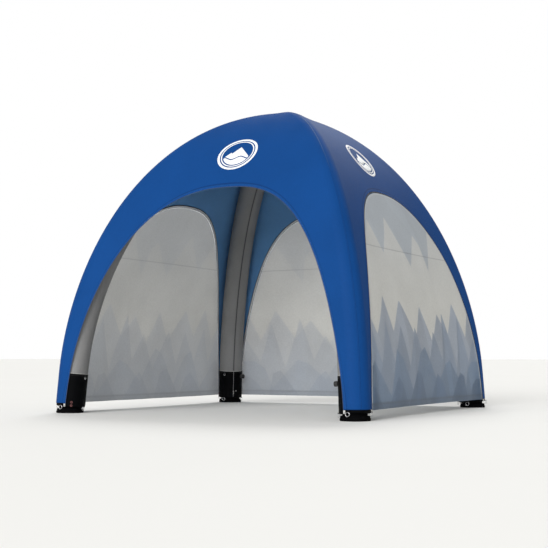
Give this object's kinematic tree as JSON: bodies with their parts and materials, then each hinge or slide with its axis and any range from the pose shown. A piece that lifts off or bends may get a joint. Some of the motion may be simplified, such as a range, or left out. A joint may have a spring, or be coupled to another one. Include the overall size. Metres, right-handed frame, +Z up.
{
  "type": "inflatable arch tent",
  "caption": "Free-standing inflatable event tent: curved air-filled legs meet at a crown under a stretched canopy with arched openings, closed by zip-in walls except in front.",
  "frame": {"origin": "ground level at the middle of the square of feet", "axes": "+Z up, the open front faces -Y, +X to the right when looking in from the front"},
  "size_m": [3.0446, 3.0446, 2.793],
  "materials": {
    "canopy_fabric": "matte",
    "wall_fabric": "matte",
    "sleeve_fabric": "matte",
    "bladder_film": "satin",
    "boot_fabric": "matte",
    "plate_rubber": "matte",
    "zip_tape": "matte",
    "webbing": "matte",
    "eyelet_plastic": "satin",
    "clip_plastic": "satin",
    "valve_plastic": "satin",
    "ring_steel": "polished"
  },
  "bodies": {
    "tent": {"canopy": "canopy_fabric", "wall_left": "wall_fabric", "wall_back": "wall_fabric", "wall_right": "wall_fabric", "arch_zips": "zip_tape", "sleeve_front_right": "sleeve_fabric", "sleeve_back_right": "sleeve_fabric", "sleeve_back_left": "sleeve_fabric", "sleeve_front_left": "sleeve_fabric", "air_bladder_front_right": "bladder_film", "air_bladder_back_right": "bladder_film", "air_bladder_back_left": "bladder_film", "air_bladder_front_left": "bladder_film", "boot_front_right": "boot_fabric", "boot_back_right": "boot_fabric", "boot_back_left": "boot_fabric", "boot_front_left": "boot_fabric", "foot_plate_front_right": "plate_rubber", "foot_plate_back_right": "plate_rubber", "foot_plate_back_left": "plate_rubber", "foot_plate_front_left": "plate_rubber", "leg_zips": "zip_tape", "valve_bodies": "valve_plastic", "d_ring_tabs": "webbing", "anchor_tabs": "webbing", "boot_eyelets": "eyelet_plastic", "canopy_clips": "clip_plastic"},
    "slider_front_right": {"zip_slider_front_right": "ring_steel"},
    "pull_front_right": {"zip_pull_front_right": "ring_steel"},
    "cap_front_right": {"valve_cap_front_right": "valve_plastic"},
    "d_ring_body_front_right": {"d_ring_front_right": "ring_steel"},
    "slider_back_right": {"zip_slider_back_right": "ring_steel"},
    "pull_back_right": {"zip_pull_back_right": "ring_steel"},
    "cap_back_right": {"valve_cap_back_right": "valve_plastic"},
    "d_ring_body_back_right": {"d_ring_back_right": "ring_steel"},
    "slider_back_left": {"zip_slider_back_left": "ring_steel"},
    "pull_back_left": {"zip_pull_back_left": "ring_steel"},
    "cap_back_left": {"valve_cap_back_left": "valve_plastic"},
    "d_ring_body_back_left": {"d_ring_back_left": "ring_steel"},
    "slider_front_left": {"zip_slider_front_left": "ring_steel"},
    "pull_front_left": {"zip_pull_front_left": "ring_steel"},
    "cap_front_left": {"valve_cap_front_left": "valve_plastic"},
    "d_ring_body_front_left": {"d_ring_front_left": "ring_steel"},
    "anchor_inner_a_front_right": {"anchor_ring_inner_a_front_right": "ring_steel"},
    "anchor_inner_a_back_right": {"anchor_ring_inner_a_back_right": "ring_steel"},
    "anchor_inner_a_back_left": {"anchor_ring_inner_a_back_left": "ring_steel"},
    "anchor_inner_a_front_left": {"anchor_ring_inner_a_front_left": "ring_steel"},
    "anchor_inner_b_front_right": {"anchor_ring_inner_b_front_right": "ring_steel"},
    "anchor_inner_b_back_right": {"anchor_ring_inner_b_back_right": "ring_steel"},
    "anchor_inner_b_back_left": {"anchor_ring_inner_b_back_left": "ring_steel"},
    "anchor_inner_b_front_left": {"anchor_ring_inner_b_front_left": "ring_steel"},
    "anchor_outer_a_front_right": {"anchor_ring_outer_a_front_right": "ring_steel"},
    "anchor_outer_a_back_right": {"anchor_ring_outer_a_back_right": "ring_steel"},
    "anchor_outer_a_back_left": {"anchor_ring_outer_a_back_left": "ring_steel"},
    "anchor_outer_a_front_left": {"anchor_ring_outer_a_front_left": "ring_steel"},
    "anchor_outer_b_front_right": {"anchor_ring_outer_b_front_right": "ring_steel"},
    "anchor_outer_b_back_right": {"anchor_ring_outer_b_back_right": "ring_steel"},
    "anchor_outer_b_back_left": {"anchor_ring_outer_b_back_left": "ring_steel"},
    "anchor_outer_b_front_left": {"anchor_ring_outer_b_front_left": "ring_steel"}
  },
  "joints": [
    {"name": "zip_slide_front_right", "type": "slide", "parent": "tent", "child": "slider_front_right", "axis": [-0.0586, 0.0586, 0.9966], "range_m": [-0.05, 0.195]},
    {"name": "zip_pull_flip_front_right", "type": "hinge", "parent": "slider_front_right", "child": "pull_front_right", "pos_m": [1.27628, -1.27628, 0.11925], "axis": [0.7071, 0.7071, 0], "range_deg": [0, 150]},
    {"name": "valve_cap_turn_front_right", "type": "hinge", "parent": "tent", "child": "cap_front_right", "pos_m": [1.21207, -1.36327, 0.28014], "axis": [-0.9983, -0.0017, -0.0586], "range_deg": [0, 90]},
    {"name": "d_ring_swing_front_right", "type": "hinge", "parent": "tent", "child": "d_ring_body_front_right", "pos_m": [1.36159, -1.22939, 0.30916], "axis": [0.9983, 0.0017, 0.0586], "range_deg": [0, 150]},
    {"name": "zip_slide_back_right", "type": "slide", "parent": "tent", "child": "slider_back_right", "axis": [-0.0586, -0.0586, 0.9966], "range_m": [-0.05, 0.195]},
    {"name": "zip_pull_flip_back_right", "type": "hinge", "parent": "slider_back_right", "child": "pull_back_right", "pos_m": [1.27628, 1.27628, 0.11925], "axis": [-0.7071, 0.7071, 0], "range_deg": [0, 150]},
    {"name": "valve_cap_turn_back_right", "type": "hinge", "parent": "tent", "child": "cap_back_right", "pos_m": [1.36327, 1.21207, 0.28014], "axis": [0.0017, -0.9983, -0.0586], "range_deg": [0, 90]},
    {"name": "d_ring_swing_back_right", "type": "hinge", "parent": "tent", "child": "d_ring_body_back_right", "pos_m": [1.22939, 1.36159, 0.30916], "axis": [-0.0017, 0.9983, 0.0586], "range_deg": [0, 150]},
    {"name": "zip_slide_back_left", "type": "slide", "parent": "tent", "child": "slider_back_left", "axis": [0.0586, -0.0586, 0.9966], "range_m": [-0.05, 0.195]},
    {"name": "zip_pull_flip_back_left", "type": "hinge", "parent": "slider_back_left", "child": "pull_back_left", "pos_m": [-1.27628, 1.27628, 0.11925], "axis": [-0.7071, -0.7071, 0], "range_deg": [0, 150]},
    {"name": "valve_cap_turn_back_left", "type": "hinge", "parent": "tent", "child": "cap_back_left", "pos_m": [-1.21207, 1.36327, 0.28014], "axis": [0.9983, 0.0017, -0.0586], "range_deg": [0, 90]},
    {"name": "d_ring_swing_back_left", "type": "hinge", "parent": "tent", "child": "d_ring_body_back_left", "pos_m": [-1.36159, 1.22939, 0.30916], "axis": [-0.9983, -0.0017, 0.0586], "range_deg": [0, 150]},
    {"name": "zip_slide_front_left", "type": "slide", "parent": "tent", "child": "slider_front_left", "axis": [0.0586, 0.0586, 0.9966], "range_m": [-0.05, 0.195]},
    {"name": "zip_pull_flip_front_left", "type": "hinge", "parent": "slider_front_left", "child": "pull_front_left", "pos_m": [-1.27628, -1.27628, 0.11925], "axis": [0.7071, -0.7071, 0], "range_deg": [0, 150]},
    {"name": "valve_cap_turn_front_left", "type": "hinge", "parent": "tent", "child": "cap_front_left", "pos_m": [-1.36327, -1.21207, 0.28014], "axis": [-0.0017, 0.9983, -0.0586], "range_deg": [0, 90]},
    {"name": "d_ring_swing_front_left", "type": "hinge", "parent": "tent", "child": "d_ring_body_front_left", "pos_m": [-1.22939, -1.36159, 0.30916], "axis": [0.0017, -0.9983, 0.0586], "range_deg": [0, 150]},
    {"name": "anchor_swing_inner_a_front_right", "type": "hinge", "parent": "tent", "child": "anchor_inner_a_front_right", "pos_m": [1.23541, -1.37661, 0.05351], "axis": [0.0017, 0.9983, -0.0586], "range_deg": [-15, 110]},
    {"name": "anchor_swing_inner_a_back_right", "type": "hinge", "parent": "tent", "child": "anchor_inner_a_back_right", "pos_m": [1.37661, 1.23541, 0.05351], "axis": [-0.9983, 0.0017, -0.0586], "range_deg": [-15, 110]},
    {"name": "anchor_swing_inner_a_back_left", "type": "hinge", "parent": "tent", "child": "anchor_inner_a_back_left", "pos_m": [-1.23541, 1.37661, 0.05351], "axis": [-0.0017, -0.9983, -0.0586], "range_deg": [-15, 110]},
    {"name": "anchor_swing_inner_a_front_left", "type": "hinge", "parent": "tent", "child": "anchor_inner_a_front_left", "pos_m": [-1.37661, -1.23541, 0.05351], "axis": [0.9983, -0.0017, -0.0586], "range_deg": [-15, 110]},
    {"name": "anchor_swing_inner_b_front_right", "type": "hinge", "parent": "tent", "child": "anchor_inner_b_front_right", "pos_m": [1.37661, -1.23541, 0.05351], "axis": [0.9983, 0.0017, 0.0586], "range_deg": [-15, 110]},
    {"name": "anchor_swing_inner_b_back_right", "type": "hinge", "parent": "tent", "child": "anchor_inner_b_back_right", "pos_m": [1.23541, 1.37661, 0.05351], "axis": [-0.0017, 0.9983, 0.0586], "range_deg": [-15, 110]},
    {"name": "anchor_swing_inner_b_back_left", "type": "hinge", "parent": "tent", "child": "anchor_inner_b_back_left", "pos_m": [-1.37661, 1.23541, 0.05351], "axis": [-0.9983, -0.0017, 0.0586], "range_deg": [-15, 110]},
    {"name": "anchor_swing_inner_b_front_left", "type": "hinge", "parent": "tent", "child": "anchor_inner_b_front_left", "pos_m": [-1.23541, -1.37661, 0.05351], "axis": [0.0017, -0.9983, 0.0586], "range_deg": [-15, 110]},
    {"name": "anchor_swing_outer_a_front_right", "type": "hinge", "parent": "tent", "child": "anchor_outer_a_front_right", "pos_m": [1.37612, -1.51732, 0.07006], "axis": [-0.9983, -0.0017, -0.0586], "range_deg": [-15, 110]},
    {"name": "anchor_swing_outer_a_back_right", "type": "hinge", "parent": "tent", "child": "anchor_outer_a_back_right", "pos_m": [1.51732, 1.37612, 0.07006], "axis": [0.0017, -0.9983, -0.0586], "range_deg": [-15, 110]},
    {"name": "anchor_swing_outer_a_back_left", "type": "hinge", "parent": "tent", "child": "anchor_outer_a_back_left", "pos_m": [-1.37612, 1.51732, 0.07006], "axis": [0.9983, 0.0017, -0.0586], "range_deg": [-15, 110]},
    {"name": "anchor_swing_outer_a_front_left", "type": "hinge", "parent": "tent", "child": "anchor_outer_a_front_left", "pos_m": [-1.51732, -1.37612, 0.07006], "axis": [-0.0017, 0.9983, -0.0586], "range_deg": [-15, 110]},
    {"name": "anchor_swing_outer_b_front_right", "type": "hinge", "parent": "tent", "child": "anchor_outer_b_front_right", "pos_m": [1.51732, -1.37612, 0.07006], "axis": [-0.0017, -0.9983, 0.0586], "range_deg": [-15, 110]},
    {"name": "anchor_swing_outer_b_back_right", "type": "hinge", "parent": "tent", "child": "anchor_outer_b_back_right", "pos_m": [1.37612, 1.51732, 0.07006], "axis": [0.9983, -0.0017, 0.0586], "range_deg": [-15, 110]},
    {"name": "anchor_swing_outer_b_back_left", "type": "hinge", "parent": "tent", "child": "anchor_outer_b_back_left", "pos_m": [-1.51732, 1.37612, 0.07006], "axis": [0.0017, 0.9983, 0.0586], "range_deg": [-15, 110]},
    {"name": "anchor_swing_outer_b_front_left", "type": "hinge", "parent": "tent", "child": "anchor_outer_b_front_left", "pos_m": [-1.37612, -1.51732, 0.07006], "axis": [-0.9983, 0.0017, 0.0586], "range_deg": [-15, 110]}
  ]
}
